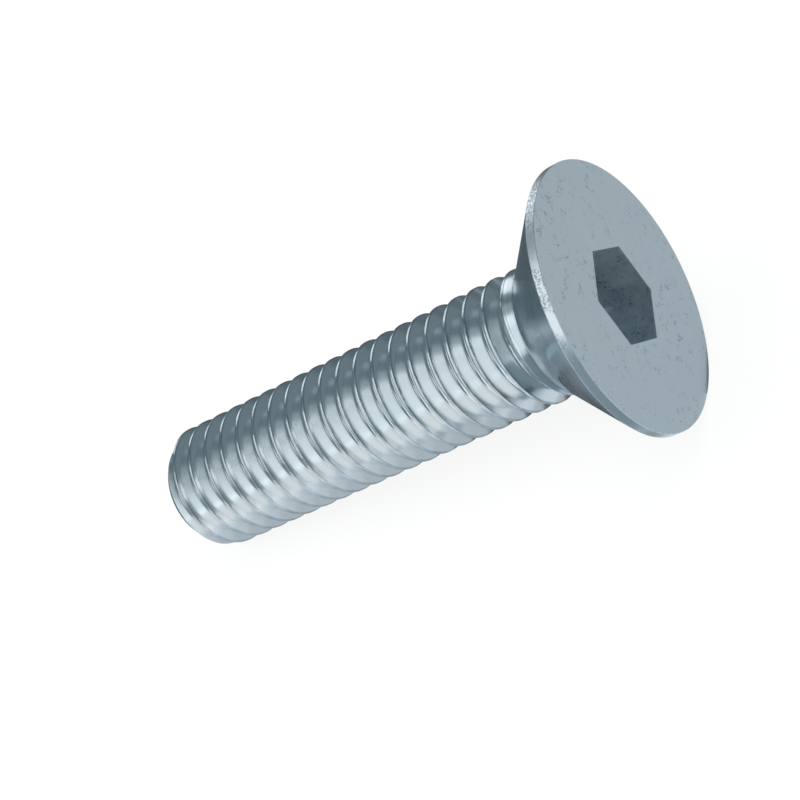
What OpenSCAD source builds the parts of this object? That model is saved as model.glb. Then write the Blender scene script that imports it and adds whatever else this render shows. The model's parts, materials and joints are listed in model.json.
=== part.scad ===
// Metric countersunk socket screw, threaded to just under the head.
// The screw is modelled upright, from the flat face of its head at z = 0 up
// to the tip, and is then laid on its side, as it comes to rest on a table.
// As it lies, +X runs from the head towards the tip, +Z points up, and the
// rim of the head and the last full crest of the thread touch z = 0.

/* [Head] */
// Diameter of the head over its straight land
head_d = 5.9; // [5:0.1:7.2]
// Included angle of the countersunk cone
cone_angle = 90; // [80:1:100]
// Height of the straight land between the face and the cone
land_h = 0.2; // [0.1:0.01:0.3]

/* [Socket] */
// Width of the hexagon socket across its flats
socket_af = 2; // [1.6:0.05:2.5]
// Depth of the socket's flat walls below the face
socket_h = 1.1; // [0.8:0.05:1.4]
// Width of the flat ring between the walls and the socket's conical bottom
socket_ring = 0.05; // [0.02:0.01:0.15]
// Included angle of the conical bottom that the punch leaves
socket_point_angle = 120; // [110:1:150]
// Turn of the hexagon about the axis of the screw
socket_turn = 16; // [0:1:59]

/* [Shank] */
// Length over all, from the face of the head to the end of the tip
screw_l = 12; // [8:0.5:20]
// Major diameter of the thread, over its crests
thread_d = 2.9; // [2.4:0.05:3.6]
// Distance from one crest of the thread to the next
pitch = 0.5; // [0.35:0.05:0.7]
// Turn of the thread about the axis of the screw
thread_turn = 15; // [0:1:359]
// Length of the plain neck between the cone and the thread
neck_h = 0.15; // [0.1:0.05:1]
// Height of the thread's crests above the neck
neck_under = 0.02; // [0.01:0.01:0.06]
// Step from the neck down to the shallow start of the thread
neck_step = 0.03; // [0.02:0.01:0.06]
// Radius of the fillet between the cone and the neck
neck_fillet = 0.08; // [0.04:0.01:0.14]
// Distance over which the thread grows to its full depth
runout_h = 0.4; // [0.1:0.05:1]

/* [Tip] */
// Diameter of the flat end
tip_d = 2.25; // [1.6:0.05:2.3]
// Slope of the chamfer, measured from the axis
tip_slope = 42; // [30:1:60]

/* [Hidden] */
$fn = 96;

// Sides of one turn of the thread, how far its solid is sunk into the neck,
// and how far the socket's cuts reach past the face
turn_sides = 36;
thread_sunk = 0.1;
past_face = 1;

// Turn of the seam where the revolved head closes, which keeps it off the
// line that the head lies on
seam_turn = 10 / 3;

head_r = head_d / 2;
crest_r = thread_d / 2;
tip_r = tip_d / 2;
neck_r = crest_r - neck_under;
cone_h = (head_r - neck_r) / tan(cone_angle / 2);
head_h = land_h + cone_h;
neck_z = head_h + neck_h;
thread_z = neck_z - thread_sunk;
thread_h = screw_l - thread_z;

// Basic profile of a metric thread, as shares of the pitch counted from the
// middle of a crest: the crest is flat, the flanks slope at 30 degrees to
// its sides, and the root is rounded, drawn here with one point at its bottom
crest_half = 1 / 16;
flank_end = 3 / 8;
flank_depth = (flank_end - crest_half) * pitch / tan(30);
root_depth = 0.6134 * pitch;
row_offsets = [-flank_end, -crest_half, crest_half, flank_end, 1 / 2];
turn_rows = len(row_offsets);
rows = turn_rows * ceil(thread_h / pitch + 1.5);

// The chamfer ends, and the last full crest lies, this far from the face
chamfer_z = screw_l - (crest_r - tip_r) / tan(tip_slope);

// Depth of the full thread at a distance u, in pitches, from a crest's middle
function depth(u) =
    let (x = abs(u - round(u)))
    x <= crest_half ? 0
    : x <= flank_end ? flank_depth * (x - crest_half) / (flank_end - crest_half)
    : flank_depth + (root_depth - flank_depth) * (x - flank_end) / (1 / 2 - flank_end);

// Share of the full depth that the thread has at a distance z from the face
function grown(z) =
    let (x = min(1, max(0, (z - neck_z) / runout_h)))
    x * x * (3 - 2 * x);

// Radius of the threaded shank at a height h above its start, a part turn
// (0 to 1) round it
function shank_r(h, part) =
    let (z = thread_z + h,
         full = crest_r - depth(h / pitch - part),
         start = neck_r - neck_step,
         cut = tip_r + (screw_l - z) * tan(tip_slope))
    min(cut, start + (full - start) * grown(z));

// The surface is a grid: its columns stand round the axis and its rows climb
// with the thread, so that row n meets row n + turn_rows after one turn.
// Rows that would leave the shank's ends are held there.
function row_h(column, row) =
    pitch * (floor(row / turn_rows) - 1 + row_offsets[row % turn_rows]
             + column / turn_sides);

function grid_point(column, row) =
    let (h = min(thread_h, max(0, row_h(column, row))),
         part = column / turn_sides,
         r = shank_r(h, part))
    [r * cos(360 * part), r * sin(360 * part), h];

// Index of a grid point, where held rows share the point at their end
function corner(column, row) =
    let (c = column % turn_sides,
         n = column < turn_sides ? row : row + turn_rows,
         h = row_h(c, n))
    c * rows + (h <= 0 ? 0 : h >= thread_h ? rows - 1 : n);

function is_triangle(t) = t[0] != t[1] && t[1] != t[2] && t[2] != t[0];

module threaded_shank() {
    points = [
        for (c = [0 : turn_sides - 1], n = [0 : rows - 1]) grid_point(c, n)
    ];
    sides = [
        for (c = [0 : turn_sides - 1], n = [0 : rows - 2])
            let (a = corner(c, n), b = corner(c, n + 1),
                 d = corner(c + 1, n), e = corner(c + 1, n + 1))
            each [[a, b, e], [a, e, d]]
    ];
    start = [for (c = [0 : turn_sides - 1]) corner(c, 0)];
    end = [for (c = [turn_sides - 1 : -1 : 0]) corner(c, rows - 1)];
    translate([0, 0, thread_z])
        polyhedron(points, concat([for (t = sides) if (is_triangle(t)) t], [start, end]));
}

// Half section of the head and neck, with a true arc in the corner under
// the cone
module head_section() {
    // distance from the corner to where the fillet touches the cone and neck
    reach = neck_fillet * tan((90 - cone_angle / 2) / 2);
    polygon([
        [0, 0],
        [head_r, 0],
        [head_r, land_h],
        [neck_r, head_h],
        [neck_r, neck_z],
        [0, neck_z]
    ]);
    difference() {
        polygon([
            [neck_r, head_h],
            [neck_r + reach * sin(cone_angle / 2), head_h - reach * cos(cone_angle / 2)],
            [neck_r, head_h + reach]
        ]);
        translate([neck_r + neck_fillet, head_h + reach])
            circle(neck_fillet);
    }
}

// The cuts of the punch: flat hexagon walls, and a cone at their bottom
module socket() {
    point_r = socket_af / 2 - socket_ring;
    point_h = point_r / tan(socket_point_angle / 2);
    translate([0, 0, -past_face])
        rotate(socket_turn)
            cylinder(r = socket_af / 2 / cos(30), h = past_face + socket_h, $fn = 6);
    rotate_extrude()
        polygon([
            [0, -past_face],
            [point_r, -past_face],
            [point_r, socket_h],
            [0, socket_h + point_h]
        ]);
}

module upright_screw() {
    difference() {
        union() {
            rotate(seam_turn) rotate_extrude() head_section();
            rotate(thread_turn) threaded_shank();
        }
        socket();
    }
}

// The lying screw rests on the rim of its head and on one crest, near the tip.
// underside is the part turn of the thread that points down, and lean() is the
// slope at which the shank would rest at a height h above its start.
underside = -thread_turn / 360;

function lean(h) =
    atan((head_r - shank_r(h, underside)) / (thread_z + h - land_h));

// Slope of the axis of the lying screw: the least of the slopes at the edges
// of the crests and at the chamfer
lie_angle = min([
    lean(chamfer_z - thread_z),
    for (turn = [1 : floor(thread_h / pitch)], edge = [-crest_half, crest_half])
        lean(min(thread_h, pitch * (turn + edge + underside)))
]);

// Height of the face's centre, and the middle of the length as it lies
face_z = head_r * cos(lie_angle) + land_h * sin(lie_angle);
middle_x = (screw_l * cos(lie_angle) + (tip_r - head_r) * sin(lie_angle)) / 2;

module screw() {
    color("lightsteelblue")
        translate([-middle_x, 0, face_z])
            rotate([0, 90 + lie_angle, 0])
                upright_screw();
}

screw();
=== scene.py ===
# A zinc-plated countersunk socket screw, lying on its side on a pale floor.
# It is shaped upright and in millimetres, from its face at z = 0 up to its
# tip, and is then shrunk to metres and laid where the frame has it.
import json
import math

import bpy
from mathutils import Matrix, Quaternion, Vector


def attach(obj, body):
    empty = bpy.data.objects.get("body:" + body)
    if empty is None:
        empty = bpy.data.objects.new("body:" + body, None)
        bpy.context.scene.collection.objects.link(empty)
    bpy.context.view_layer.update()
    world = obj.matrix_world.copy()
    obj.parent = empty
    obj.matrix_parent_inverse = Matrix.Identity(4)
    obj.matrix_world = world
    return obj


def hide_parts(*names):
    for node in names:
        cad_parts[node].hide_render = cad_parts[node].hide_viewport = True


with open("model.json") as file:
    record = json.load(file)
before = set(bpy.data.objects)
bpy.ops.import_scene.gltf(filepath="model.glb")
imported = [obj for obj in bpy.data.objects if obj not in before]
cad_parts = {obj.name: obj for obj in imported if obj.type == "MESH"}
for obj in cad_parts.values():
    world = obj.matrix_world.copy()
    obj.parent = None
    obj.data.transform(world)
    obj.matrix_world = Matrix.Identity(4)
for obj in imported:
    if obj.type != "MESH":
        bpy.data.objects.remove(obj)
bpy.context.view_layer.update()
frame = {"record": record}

MM = 0.001

# Head: a straight land, a 90 degree cone and a filleted neck
HEAD_R = 2.95
LAND_H = 0.2
NECK_R = 1.43
CONE_END = LAND_H + HEAD_R - NECK_R
RIM_ROUNDING = 0.01
LAND_ROUNDING = 0.03
NECK_FILLET = 0.08
# how far the head's end dips under the skin of the shank
NECK_DIP = 0.004

# Socket: a hexagon with a conical bottom, turned as the frame's is
SOCKET_AF = 2.0
SOCKET_H = 1.1
SOCKET_TURN = math.radians(16)
SOCKET_CORNER_ROUNDING = 0.03
SOCKET_LIP = 0.006
# half of the angle that one side of a hexagon spans
HALF_SIDE = math.radians(30)
PUNCH_RING = 0.05
PUNCH_POINT_ANGLE = math.radians(120)

# Shank: a rolled thread with the basic metric profile
SCREW_L = 12.0
CREST_R = 1.45
PITCH = 0.5
FLANK_ANGLE = math.radians(30)
CREST_HALF = PITCH / 16
CREST_ROUNDING = 0.02
ROOT_ROUNDING = 0.1443 * PITCH
# radius at which the two flanks of a groove would meet
VEE_R = CREST_R - (PITCH / 2 - CREST_HALF) / math.tan(FLANK_ANGLE)
# height of a crest's middle, at the turn that the thread starts from
FIRST_CREST = 1.77
THREAD_TURN = math.radians(15)
SHANK_START = 1.6
# the groove fades in between these heights
FADE_START = 1.8
FADE_END = 2.27

# Tip: a chamfer down to a flat end
TIP_R = 1.125
TIP_SLOPE = math.radians(42)

# Sides of everything that is turned, and steps of the roundings
SIDES = 144
ROUNDING_STEPS = 4
ROOT_STEPS = 6
SHARP = math.radians(30)
# Points nearer than this are one point, and cuts reach this far past
WELD = 0.0005
CUT_WELD = WELD / 10
PAST = 0.5

# Colours of the plating where it is bright or rolled, and a dark colour for its marks
# and speckles that also paints shade in the socket, the thread's roots, the neck and
# the cone
BRIGHT = (0.78, 0.83, 0.86, 1)
ROLLED = (0.8, 0.84, 0.86, 1)
DULL_AND_SHADE = (0.21, 0.3, 0.36, 1)
# Roughness of the plating, and what its zones, clouds and marks add to it
ROUGHNESS = 0.2
FACE_ROUGHNESS = 0.12
LAND_ROUGHNESS = 0.1
CONE_ROUGHNESS = 0.04
SOCKET_ROUGHNESS = 0.35
CLOUD_ROUGHNESS = 0.1
MARK_ROUGHNESS = 0.2
# Heights of the marks, speckles and grain in the plating, in millimetres
MARK_DEPTH = 0.004
SPECKLE_HEIGHT = 0.004
FACE_GRAIN = 0.0012
LAND_GRAIN = 0.003
THREAD_GRAIN = 0.001
CREST_GRAIN = 0.005
# Colours of the cards round the screw and of the light of the room
COOL = (0.81, 0.934, 1.0, 1)
COLD = (0.66, 0.88, 1.0, 1)
PALE = (0.83, 0.93, 1.0, 1)

# Camera, placed in millimetres and turned about its own view line. It sees
# nothing nearer than its clip distance, in metres.
CAMERA_PLACE = (-20.5758, 27.2017, 28.4746)
CAMERA_AIM = (0.18666, -0.15525, 2.0)
CAMERA_ROLL = math.radians(43.207)
CAMERA_LENS = 90.0851
CAMERA_CLIP = 0.001

# Floor, lamps and room, with the floor's size and the lamps' distance in
# metres
FLOOR_SIZE = 0.6
FLOOR_PAINT = (0.95, 0.95, 0.95, 1)
FLOOR_WHITE = 0.9
WHITE = (1, 1, 1, 1)
LAMP_DISTANCE = 0.25
ROOM_LIGHT = 0.24

# Cards on the floor: name, corner with the largest x and the smallest y,
# width, depth, strength and colour. Where two overlap, the higher is seen.
FLOOR_CARDS = (
    # in front of the face and beside the head
    ("face card", (-6.3, -20, 0.02), 18, 21.7, 0.52, COOL),
    ("far card", (-4.8, 1.7, 0.016), 19.5, 10.5, 0.85, PALE),
    ("rim card", (-4.8, 2.2, 0.02), 1, 0.9, 0.33, COOL),
    ("gap card", (-4.8, 0.45, 0.02), 1.5, 1.75, 0.8, PALE),
    # behind the screw
    ("back card", (61, -15, 0.02), 67.3, 15.45, 0.16, COLD),
    ("rear card", (290, -290, 0.01), 580, 275, 0.16, COLD),
    # along the shank, lighter in steps away from it
    ("near card", (8, 0.45, 0.02), 12.8, 1.05, 0.56, PALE),
    ("next card", (8, 0.45, 0.016), 12.8, 1.85, 0.68, PALE),
    ("last card", (8, 0.45, 0.012), 12.8, 2.75, 0.82, PALE),
)
# Cards that stand: name, lower corner with the largest x, width, height and
# strength. They darken the neck, the cone and the land.
UPRIGHT_CARDS = (
    ("neck card", (-3.5, 1.8, 0.1), 1, 3.5, 0.32),
    ("neck shade", (-3.5, 1.8, 3.6), 1, 0.3, 0.55),
    ("cone card", (-3.5, 1.82, 0.1), 1.3, 3.0, 0.09),
    ("land card", (-4.4, 3.3, 0.05), 1.6, 4.55, 0.31),
    ("land shade", (-4.4, 3.3, 4.6), 1.6, 0.5, 0.55),
)
# Lamps: name, azimuth, elevation, width and height in degrees, radiance, and
# for one of them a turn about its own middle
LAMPS = (
    ("key", 48, 33, 84, 28, 0.92, -42),
    ("low", 82, 4, 30, 12, 0.55),
    ("upper", 355, 60, 34, 22, 0.24),
    ("side", 307, 20, 26, 30, 1.05),
    ("glow", 280, 37, 14, 14, 0.2),
    ("front", 183, 22, 16, 12, 1.0),
    ("top", 135, 45, 44, 26, 0.8),
)
# The lamp that keeps the shadow on the floor faint
FLOOR_LAMP = ("floor light", 90, 80, 60, 60, 2.7)


def only(thing):
    """Selects one object and nothing else."""
    bpy.ops.object.select_all(action="DESELECT")
    thing.select_set(True)
    bpy.context.view_layer.objects.active = thing


def edit(thing):
    """Opens a thing in edit mode with all of its points selected."""
    only(thing)
    bpy.ops.object.mode_set(mode="EDIT")
    bpy.ops.mesh.select_mode(type="VERT")
    bpy.ops.mesh.select_all(action="SELECT")


def close():
    """Leaves edit mode."""
    bpy.ops.object.mode_set(mode="OBJECT")


def place(thing, location=(0, 0, 0), turn=(0, 0, 0), scale=(1, 1, 1)):
    """Moves, turns and scales a thing, and leaves its object at the origin."""
    only(thing)
    thing.location = location
    thing.rotation_euler = turn
    thing.scale = scale
    bpy.ops.object.transform_apply(location=True, rotation=True, scale=True)
    return thing


def modify(thing, kind, **settings):
    """Adds a modifier with these settings and applies it."""
    only(thing)
    bpy.ops.object.modifier_add(type=kind)
    modifier = thing.modifiers[-1]
    for name, value in settings.items():
        setattr(modifier, name, value)
    bpy.ops.object.modifier_apply(modifier=modifier.name)
    return thing


def rounded(corners, steps=ROUNDING_STEPS):
    """The points (radius, height) of an outline. A corner with a third value
    is rounded with an arc of that radius."""
    points = []
    for i, corner in enumerate(corners):
        here = Vector(corner[:2])
        if len(corner) == 2:
            points.append(here)
            continue
        back = (Vector(corners[i - 1][:2]) - here).normalized()
        on = (Vector(corners[i + 1][:2]) - here).normalized()
        half = back.angle(on) / 2
        reach = corner[2] / math.tan(half)
        centre = here + (back + on).normalized() * corner[2] / math.sin(half)
        start = (here + back * reach - centre).normalized()
        end = (here + on * reach - centre).normalized()
        for step in range(steps + 1):
            points.append(centre + start.slerp(end, step / steps) * corner[2])
    return points


def draw(name, points):
    """A line through (radius, height) points in the XZ plane, drawn by
    extruding one corner after another."""
    bpy.ops.object.select_all(action="DESELECT")
    bpy.ops.mesh.primitive_plane_add(size=1)
    line = bpy.context.object
    line.name = line.data.name = name
    edit(line)
    bpy.ops.mesh.merge(type="CENTER")
    bpy.ops.transform.translate(value=(points[0].x, 0, points[0].y))
    for here, there in zip(points, points[1:]):
        step = (there.x - here.x, 0, there.y - here.y)
        bpy.ops.mesh.extrude_vertices_move(TRANSFORM_OT_translate={"value": step})
    close()
    return line


def turned(name, points, rise=0.0, turns=1):
    """An outline turned about the Z axis, and lifted by rise with each turn."""
    body = modify(
        draw(name, points), "SCREW", steps=SIDES, render_steps=SIDES,
        screw_offset=rise, iterations=turns,
    )
    edit(body)
    bpy.ops.mesh.remove_doubles(threshold=WELD)
    bpy.ops.mesh.normals_make_consistent(inside=False)
    close()
    return body


def combine(thing, tool, operation):
    """Joins a tool to a thing, or cuts the thing with it."""
    modify(thing, "BOOLEAN", operation=operation, object=tool, solver="EXACT")
    bpy.data.objects.remove(tool)


def forged_head():
    """The head, down to where its fillet dips under the skin of the shank."""
    end_r = NECK_R - NECK_DIP
    return turned("head", rounded([
        (0, 0),
        (HEAD_R, 0, RIM_ROUNDING),
        (HEAD_R, LAND_H, LAND_ROUNDING),
        (end_r, CONE_END + NECK_DIP, NECK_FILLET),
        (end_r, CONE_END + NECK_FILLET),
        (0, CONE_END + NECK_FILLET),
    ]))


def rolled_shank():
    """One tooth of the thread, swept up the screw and trimmed at both ends."""
    crest = rounded([
        (CREST_R, 0),
        (CREST_R, CREST_HALF, CREST_ROUNDING),
        (VEE_R, PITCH / 2),
    ])[:-1]
    root = rounded([
        (CREST_R, CREST_HALF),
        (VEE_R, PITCH / 2, ROOT_ROUNDING),
        (CREST_R, PITCH - CREST_HALF),
    ], ROOT_STEPS)[1:-1]
    next_crest = [Vector((point.x, PITCH - point.y)) for point in reversed(crest)]
    start = FIRST_CREST - 2 * PITCH
    turns = math.ceil((SCREW_L - start) / PITCH) + 1
    body = turned("screw", crest + root + next_crest, PITCH, turns)
    place(body, (0, 0, start), (0, 0, THREAD_TURN))
    for height, way in ((SHANK_START, -1), (SCREW_L, 1)):
        edit(body)
        bpy.ops.mesh.bisect(
            plane_co=(0, 0, height), plane_no=(0, 0, way), use_fill=True,
            clear_outer=True, threshold=CUT_WELD,
        )
        close()
    return body


def fade_thread(body):
    """Draws the thread's start out to a plain neck."""
    group = body.vertex_groups.new(name="neck")
    for vertex in body.data.vertices:
        share = (FADE_END - vertex.co.z) / (FADE_END - FADE_START)
        share = min(1, max(0, share))
        group.add([vertex.index], share * share * (3 - 2 * share), "REPLACE")
    modify(
        body, "CAST", cast_type="CYLINDER", factor=1, use_radius_as_size=False,
        size=NECK_R, use_z=False, vertex_group="neck",
    )
    body.vertex_groups.clear()


def chamfer_tip(body):
    """Cuts the tip to a cone with a flat end."""
    run = CREST_R + PAST - TIP_R
    combine(body, turned("chamfer", [
        Vector((0, SHANK_START - PAST)),
        Vector((CREST_R + PAST, SHANK_START - PAST)),
        Vector((CREST_R + PAST, SCREW_L - run / math.tan(TIP_SLOPE))),
        Vector((TIP_R - PAST * math.tan(TIP_SLOPE), SCREW_L + PAST)),
        Vector((0, SCREW_L + PAST)),
    ]), "INTERSECT")


def punch_socket(body):
    """Cuts the hexagon, its lip slightly drawn in, and the cone under it."""
    bpy.ops.object.select_all(action="DESELECT")
    bpy.ops.mesh.primitive_circle_add(
        vertices=6, radius=SOCKET_AF / 2 / math.cos(HALF_SIDE), fill_type="NGON",
    )
    hexagon = place(bpy.context.object, (0, 0, SOCKET_H))
    hexagon.name = hexagon.data.name = "hexagon"
    edit(hexagon)
    bpy.ops.mesh.bevel(
        affect="VERTICES", offset=SOCKET_CORNER_ROUNDING * math.tan(HALF_SIDE),
        segments=ROUNDING_STEPS,
    )
    height, reach = SOCKET_H, SOCKET_AF / 2
    lip = []
    for step in range(ROUNDING_STEPS + 1):
        turn = math.pi / 2 * step / ROUNDING_STEPS
        lip.append((
            SOCKET_LIP * (1 - math.sin(turn)),
            SOCKET_AF / 2 + SOCKET_LIP * (1 - math.cos(turn)),
        ))
    for next_height, next_reach in lip + [(-PAST, lip[-1][1])]:
        growth = next_reach / reach
        bpy.ops.mesh.extrude_region_move(
            TRANSFORM_OT_translate={"value": (0, 0, next_height - height)})
        bpy.ops.transform.resize(
            value=(growth, growth, 1), center_override=(0, 0, 0))
        height, reach = next_height, next_reach
    bpy.ops.mesh.select_all(action="SELECT")
    bpy.ops.mesh.normals_make_consistent(inside=False)
    close()
    place(hexagon, turn=(0, 0, SOCKET_TURN - math.pi / 2))
    combine(body, hexagon, "DIFFERENCE")

    point_r = SOCKET_AF / 2 - PUNCH_RING
    point_h = point_r / math.tan(PUNCH_POINT_ANGLE / 2)
    combine(body, turned("point", [
        Vector((0, SOCKET_H / 2)),
        Vector((point_r, SOCKET_H / 2)),
        Vector((point_r, SOCKET_H)),
        Vector((0, SOCKET_H + point_h)),
    ]), "DIFFERENCE")


def smooth(body):
    """Smooth shading between the edges that are sharp."""
    only(body)
    bpy.ops.object.shade_smooth_by_angle(angle=SHARP)
    modify(body, "WEIGHTED_NORMAL", keep_sharp=True)


def key_socket():
    """The record's mount at the middle of the face, pointing away from it."""
    return next(m for m in frame["record"]["mounts"] if m["name"] == "key_socket")


def slope_of(mount):
    """The angle by which the screw's axis slopes down towards the tip."""
    away, _, up = mount["axis"]
    return math.atan2(up, -away)


def lay_down(body):
    """Shrinks the screw to metres and lays it where the frame has it."""
    socket = key_socket()
    place(body, socket["pos_m"], (0, math.pi / 2 + slope_of(socket), 0), (MM, MM, MM))


class Value:
    """A number, colour or vector in a material, ready to calculate with."""

    def __init__(self, paint, socket):
        self.paint = paint
        self.socket = socket

    def calculate(self, operation, *others):
        """The result of this operation on numbers or values."""
        return self.paint.node("Math", {"operation": operation}, *others)

    def __add__(self, other):
        return self.calculate("ADD", self, other)

    def __sub__(self, other):
        return self.calculate("SUBTRACT", self, other)

    def __mul__(self, other):
        return self.calculate("MULTIPLY", self, other)

    def __radd__(self, other):
        return self.calculate("ADD", other, self)

    def __rsub__(self, other):
        return self.calculate("SUBTRACT", other, self)

    def __rmul__(self, other):
        return self.calculate("MULTIPLY", other, self)

    def __abs__(self):
        return self.calculate("ABSOLUTE", self)

    def step(self, low, high):
        """0 at low and 1 at high, with a soft step between them."""
        if low > high:
            return 1 - self.step(high, low)
        settings = {"interpolation_type": "SMOOTHSTEP"}
        return self.paint.node("MapRange", settings, self, low, high, 0.0, 1.0)


class Paint:
    """One material and its nodes."""

    def __init__(self, name):
        self.material = bpy.data.materials.new(name)
        self.material.use_nodes = True
        self.tree = self.material.node_tree
        self.tree.nodes.clear()

    def node(self, kind, settings=None, *values, out=None, **named):
        """Adds a node of this kind. Settings come first, then values or links
        for its sockets, in their order or by name."""
        node = self.tree.nodes.new("ShaderNode" + kind)
        for name, setting in (settings or {}).items():
            setattr(node, name, setting)
        sockets = [socket for socket in node.inputs if socket.enabled]
        pairs = list(zip(sockets, values))
        for name, value in named.items():
            pairs.append((node.inputs[name.replace("_", " ")], value))
        for socket, value in pairs:
            if isinstance(value, Value):
                self.tree.links.new(value.socket, socket)
            else:
                socket.default_value = value
        if out is not None:
            return Value(self, node.outputs[out])
        return Value(self, next(socket for socket in node.outputs if socket.enabled))

    def noise(self, where, scale, detail=2.0, roughness=0.5):
        """Soft noise between 0 and 1, with about scale waves in a unit."""
        return self.node("TexNoise", None, Vector=where, Scale=scale, Detail=detail,
                         Roughness=roughness)

    def finish(self, surface):
        """Gives the material this surface, and returns the material."""
        output = self.tree.nodes.new("ShaderNodeOutputMaterial")
        self.tree.links.new(surface.socket, output.inputs["Surface"])
        return self.material


def zinc_plate():
    """Bright zinc with a pale blue passivate: satin on the face, which has fine marks,
    rougher in the socket, and brighter along the rolled thread. Shade is painted into
    its colour in the socket, in the roots of the thread, on the neck and on the cone
    under the head."""
    paint = Paint("zinc plate")
    socket = key_socket()
    where = paint.node(
        "Mapping", {"vector_type": "TEXTURE"}, paint.node("TexCoord", out="Object"),
        socket["pos_m"], (0, math.pi / 2 + slope_of(socket), 0), (MM, MM, MM))
    x, y, z = (paint.node("SeparateXYZ", None, where, out=axis) for axis in "XYZ")
    flat = paint.node("CombineXYZ", None, x, y, 0.0)
    r = paint.node("VectorMath", {"operation": "LENGTH"}, flat, out="Value")

    # the zones, each with the heights and radii in millimetres between which
    # it fades in or out
    in_socket = z.step(0.01, 0.04) * r.step(1.3, 1.2) * z.step(1.7, 1.68)
    on_face = z.step(0.03, 0.01)
    on_land = z.step(0.01, 0.03) * z.step(0.24, 0.2) * r.step(2.8, 2.9)
    on_thread = z.step(1.9, 2.0)
    on_crest = on_thread * r.step(1.41, 1.44)
    # the roots of the thread, where shade is painted
    root_painted_shade = r.step(1.24, 1.17)
    on_cone = z.step(0.2, 0.24) * z.step(1.8, 1.72) * r.step(1.3, 1.4)
    # the neck under the head, where shade is painted
    neck_painted_shade = z.step(1.66, 1.76) * z.step(1.96, 1.86)

    # short curled marks and small pits on the face
    curl = paint.noise(where, 7.0, 3.0)
    near = 1 - abs(curl - 0.5).step(0.006, 0.03)
    some = paint.noise(where, 4.6).step(0.5, 0.6)
    few = paint.noise(where, 0.9).step(0.34, 0.6)
    marks = near * some * few
    cloud = paint.noise(where, 1.6, 4.0, 0.6) - 0.5
    grain = paint.noise(where, 22.0, 2.0) - 0.5

    # speckles, in patches, on the land and the cone
    speckle = paint.noise(where, 20.0, 3.0, 0.6).step(0.5, 0.64)
    blot = paint.noise(where, 3.4, 3.0, 0.6) - 0.5
    patch = paint.noise(where, 0.8, 2.0).step(0.5, 0.62)

    # the share of the dark colour in each zone, uneven with the blots: painted shade in
    # the socket, the thread's roots, the neck and the cone under the head, darker
    # crests all round, and the face's marks and the speckles of the land and cone
    dull_and_shade = (
        # painted shade deep in the socket, mottled with blots and marks
        in_socket * (0.3 + 0.9 * blot + 0.7 * marks)
        + on_crest * (0.5 + 0.8 * blot)
        # painted shade in the roots of the thread, and an uneven tone along it
        + on_thread * (0.15 * root_painted_shade + 0.12 * blot)
        # painted shade on the neck under the head
        + 0.32 * neck_painted_shade
        + on_face * (0.5 * marks + 0.06 * cloud)
        + on_land * patch * speckle * 0.4
        # painted shade on the cone under the head, darker towards the land, mottled
        # with blots and speckles
        + on_cone * (0.3 + 0.2 * r.step(1.6, 2.5) + 0.5 * blot
                     + 0.3 * patch * speckle)
    )
    clean = paint.node("Mix", {"data_type": "RGBA"}, on_thread, BRIGHT, ROLLED)
    mixing = {"data_type": "RGBA", "clamp_factor": True}
    colour = paint.node("Mix", mixing, dull_and_shade, clean, DULL_AND_SHADE)
    rough = (
        ROUGHNESS + FACE_ROUGHNESS * on_face + LAND_ROUGHNESS * on_land
        + CONE_ROUGHNESS * on_cone + SOCKET_ROUGHNESS * in_socket
        + CLOUD_ROUGHNESS * cloud + MARK_ROUGHNESS * on_face * marks
    )
    height = (
        -MARK_DEPTH * on_face * marks
        + FACE_GRAIN * grain * on_face
        + SPECKLE_HEIGHT * speckle * patch * (on_land + on_cone)
        + LAND_GRAIN * grain * on_land
        + on_thread * (CREST_GRAIN * on_crest + THREAD_GRAIN)
        * (paint.noise(where, 4.0, 2.0) - 0.5)
    )
    bumped = paint.node("Bump", None, Strength=1.0, Distance=MM, Height=height)
    surface = paint.node(
        "BsdfPrincipled", None, Base_Color=colour, Metallic=1.0, Roughness=rough,
        Normal=bumped,
    )
    return paint.finish(surface)


def add_camera():
    """The camera, which sees the screw as the photo does."""
    bpy.ops.object.camera_add()
    camera = bpy.context.object
    spot, aim = Vector(CAMERA_PLACE), Vector(CAMERA_AIM)
    look = aim - spot
    level = look.to_track_quat("-Z", "Y")
    camera.location = spot * MM
    camera.rotation_mode = "QUATERNION"
    camera.rotation_quaternion = Quaternion(look, CAMERA_ROLL) @ level
    camera.data.lens = CAMERA_LENS
    camera.data.clip_start = CAMERA_CLIP
    bpy.context.scene.camera = camera


def add_floor():
    """A matt white floor, shown nearly white with a faint shadow."""
    bpy.ops.object.select_all(action="DESELECT")
    bpy.ops.mesh.primitive_plane_add(size=FLOOR_SIZE)
    floor = bpy.context.object
    floor.name = floor.data.name = "floor"
    paint = Paint("floor")
    lit = paint.node("BsdfDiffuse", None, FLOOR_PAINT)
    white = paint.node("Emission", None, WHITE, 1.0)
    seen = paint.node("LightPath", out="Is Camera Ray")
    mirrored = paint.node("LightPath", out="Is Glossy Ray")
    through = paint.node("LightPath", out="Is Transmission Ray")
    share = (seen + mirrored + through) * FLOOR_WHITE
    surface = paint.node("MixShader", None, share, lit, white)
    floor.data.materials.append(paint.finish(surface))


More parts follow.
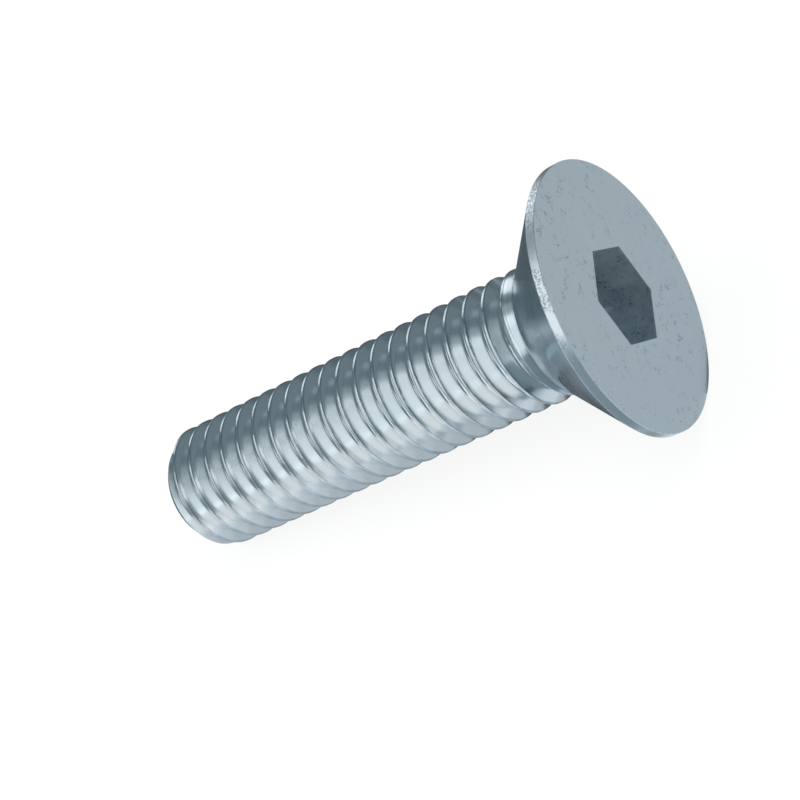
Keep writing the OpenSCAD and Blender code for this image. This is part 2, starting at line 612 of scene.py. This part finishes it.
def add_card(name, corner, width, depth, strength, colour=COLD, upright=False):
    """A plain glowing card that only the metal can see. From its corner it
    reaches width towards -X, and depth towards +Y or upwards, in millimetres."""
    bpy.ops.object.select_all(action="DESELECT")
    bpy.ops.mesh.primitive_plane_add(size=1)
    card = bpy.context.object
    card.name = card.data.name = name
    place(card, (-width * MM / 2, depth * MM / 2, 0), scale=(width * MM, depth * MM, 1))
    place(card, Vector(corner) * MM, (math.pi / 2 if upright else 0, 0, 0))
    card.visible_camera = card.visible_diffuse = card.visible_shadow = False
    paint = Paint(name)
    surface = paint.node("Emission", None, colour, strength)
    card.data.materials.append(paint.finish(surface))


def add_softbox(name, azimuth, elevation, width, height, radiance, turn=0.0):
    """A soft light that is seen from the screw at this azimuth, counted from
    +X towards +Y, and this elevation, width by height degrees large."""
    side, up = math.radians(azimuth), math.radians(elevation)
    away = Vector((
        math.cos(up) * math.cos(side), math.cos(up) * math.sin(side), math.sin(up),
    ))
    level = away.to_track_quat("Z", "Y")
    bpy.ops.object.light_add(type="AREA")
    lamp = bpy.context.object
    lamp.name = lamp.data.name = name
    lamp.location = away * LAMP_DISTANCE
    lamp.rotation_mode = "QUATERNION"
    lamp.rotation_quaternion = Quaternion(away, math.radians(turn)) @ level
    lamp.data.shape = "RECTANGLE"
    lamp.data.size = 2 * LAMP_DISTANCE * math.tan(math.radians(width / 2))
    lamp.data.size_y = 2 * LAMP_DISTANCE * math.tan(math.radians(height / 2))
    lamp.data.energy = radiance * math.pi * lamp.data.size * lamp.data.size_y
    return lamp


def add_room_light():
    """A dim, cold light that comes from everywhere."""
    world = bpy.data.worlds.new("studio")
    bpy.context.scene.world = world
    world.use_nodes = True
    background = world.node_tree.nodes["Background"]
    background.inputs["Color"].default_value = COLD
    background.inputs["Strength"].default_value = ROOM_LIGHT


screw = rolled_shank()
fade_thread(screw)
chamfer_tip(screw)
combine(screw, forged_head(), "UNION")
punch_socket(screw)
smooth(screw)
lay_down(screw)
screw.data.materials.append(zinc_plate())
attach(screw, "root")
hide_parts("screw")

add_floor()
add_camera()
for card in FLOOR_CARDS:
    add_card(*card)
for card in UPRIGHT_CARDS:
    add_card(*card, upright=True)
for lamp in LAMPS:
    add_softbox(*lamp)
add_softbox(*FLOOR_LAMP).visible_glossy = False
add_room_light()
bpy.context.scene.view_settings.view_transform = "Standard"
